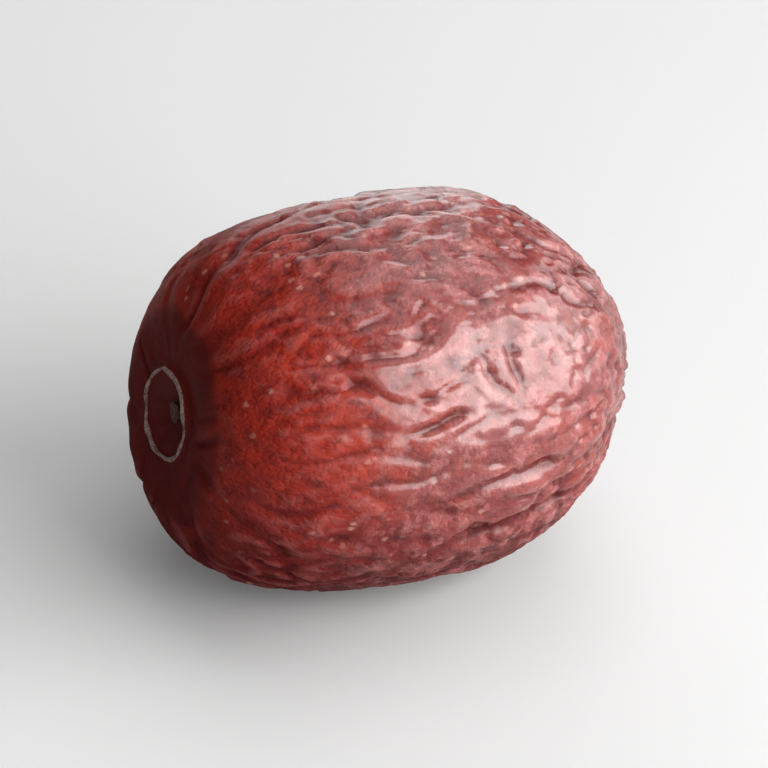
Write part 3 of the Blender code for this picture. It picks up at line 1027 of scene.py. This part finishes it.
@dataclass
class Scar:
    """A low, ragged button of cork with a pit in its middle, set in the skin at one end of the fruit."""

    skin: DriedSkin
    name: str
    middle: Sequence[float]
    outwards: float
    radius: float
    thickness: float
    pit: float
    seed: float
    raggedness: float = 0.35
    lumpiness: float = 0.25
    pit_share: float = 0.35
    sides: int = 72
    rings: int = 36

    def build(self, finish: CorkFinish) -> bpy.types.Object:
        """Flatten a ball to the button and put it in its place."""
        scar = Model.start(self.name, bpy.ops.mesh.primitive_uv_sphere_add,
                           segments=self.sides, ring_count=self.rings, radius=1.0)
        ball = Model.points(scar)
        upper = ball[:, 2] > 0
        spread = np.hypot(ball[:, 0], ball[:, 1])
        edge = self.raggedness * grain(ball, (0.7, 0.7, 2.0), (self.seed, 3.0, 1.0))
        ragged = self.radius * (1 + edge)
        lumps = self.lumpiness * grain(ball, (0.35, 0.35, 0.35), (2.0, self.seed, 7.0)) * upper
        rise = self.thickness * (ball[:, 2] + lumps) - self.pit * bell(spread, self.pit_share) * upper
        places = np.stack((self.outwards * rise, ball[:, 0] * ragged, ball[:, 1] * ragged), axis=1)
        Model.move(scar, places + np.array(self.middle))
        scar.data.transform(self.skin.placing)
        Model.face_outwards(scar)
        Model.finish(scar, finish.make())
        return scar


class Softbox(NamedTuple):
    """A square soft light that faces the fruit: angles in degrees, sizes in metres, power in watts."""

    name: str
    azimuth: float
    elevation: float
    distance: float
    size: float
    power: float


@dataclass
class Studio:
    """A pale floor, five soft lights and the camera."""

    lights: tuple[Softbox, ...] = (
        Softbox("window", 41, 17, 0.30, 0.37, 3.9),
        Softbox("front", -14, 34, 0.45, 0.34, 0.7),
        Softbox("back", 163, 16, 0.50, 0.40, 1.5),
        Softbox("side", 96, 14, 0.50, 0.34, 1.1),
        Softbox("ceiling", 120, 72, 0.90, 0.9, 5.4),
    )
    view_azimuth: float = math.radians(-26.4)
    view_elevation: float = math.radians(34)
    view_roll: float = math.radians(2.1)
    lens: float = 200.0
    sensor: float = 36.0
    filled: float = 0.66
    floor_size: float = 6.0
    world_strength: float = 0.10
    middle: Vector = field(default_factory=Vector, init=False)
    width: float = field(default=0.0, init=False)

    def build(self) -> None:
        """Set up the floor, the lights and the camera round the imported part."""
        low, high = (Vector(corner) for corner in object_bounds())
        self.middle = (low + high) / 2
        self.width = (high - low).x
        self._lay_floor()
        self._hang_lights()
        self._place_camera()

    @staticmethod
    def direction(azimuth: float, elevation: float) -> Vector:
        """Return the unit vector towards an azimuth, 0 being -Y and positive to +X, and elevation."""
        return Vector((math.sin(azimuth) * math.cos(elevation), -math.cos(azimuth) * math.cos(elevation),
                       math.sin(elevation)))

    def _lay_floor(self) -> None:
        """Lay the floor that the fruit lies on."""
        floor = Model.start("floor", bpy.ops.mesh.primitive_plane_add, size=self.floor_size)
        floor.data.materials.append(FloorFinish().make())
        floor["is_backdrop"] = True

    def _hang(self, softbox: Softbox) -> None:
        """Hang one of the lights."""
        light = bpy.data.lights.new(softbox.name, 'AREA')
        light.energy = softbox.power
        light.size = softbox.size
        holder = bpy.data.objects.new(softbox.name, light)
        towards = self.direction(math.radians(softbox.azimuth), math.radians(softbox.elevation))
        holder.location = self.middle + towards * softbox.distance
        holder.rotation_euler = towards.to_track_quat('Z', 'Y').to_euler()
        bpy.context.scene.collection.objects.link(holder)

    def _hang_lights(self) -> None:
        """Hang the window light at the right, one in front, two for the rims, one above; set the world."""
        for softbox in self.lights:
            self._hang(softbox)
        world = bpy.data.worlds.new("studio")
        bpy.context.scene.world = world
        world.use_nodes = True
        background = world.node_tree.nodes["Background"]
        background.inputs["Color"].default_value = (1.0, 1.0, 1.0, 1.0)
        background.inputs["Strength"].default_value = self.world_strength

    def _place_camera(self) -> None:
        """Look at the fruit from the photograph's angle."""
        camera = bpy.data.cameras.new("camera")
        camera.lens = self.lens
        camera.sensor_width = self.sensor
        camera.clip_start = 0.005
        holder = bpy.data.objects.new("camera", camera)
        back = self.direction(self.view_azimuth, self.view_elevation)
        half_view = self.sensor / 2 / self.lens
        holder.location = self.middle + back * (self.width / self.filled / 2 / half_view)
        rolled = back.to_track_quat('Z', 'Y') @ Quaternion((0, 0, 1), self.view_roll)
        holder.rotation_euler = rolled.to_euler()
        bpy.context.scene.collection.objects.link(holder)
        bpy.context.scene.camera = holder
        bpy.context.scene.view_settings.view_transform = 'Standard'


def main() -> None:
    """Build every piece and the studio."""
    logging.basicConfig(level=logging.INFO)
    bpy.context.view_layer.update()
    studio = Studio()
    studio.build()
    skin = DriedSkin()
    skin.build(SkinFinish())
    form = skin.form
    StemRing(skin).build(CorkFinish())
    stem_middle = (float(form.stem_face(np.array([[0.0, 0.0, form.ring_rise]]))[0]), 0.0, form.ring_rise)
    dark_cork = CorkFinish("dark_cork", (0.080, 0.030, 0.020), (0.026, 0.009, 0.006), grain_size=0.1)
    Scar(skin, "stem_scar", stem_middle, outwards=-1.0, radius=0.62, thickness=0.16, pit=0.10,
         seed=4.0).build(dark_cork)
    Scar(skin, "tip_scar", skin.tip_pole, outwards=1.0, radius=0.50, thickness=0.13, pit=0.06,
         seed=9.0).build(dark_cork)


if __name__ == "__main__":
    main()
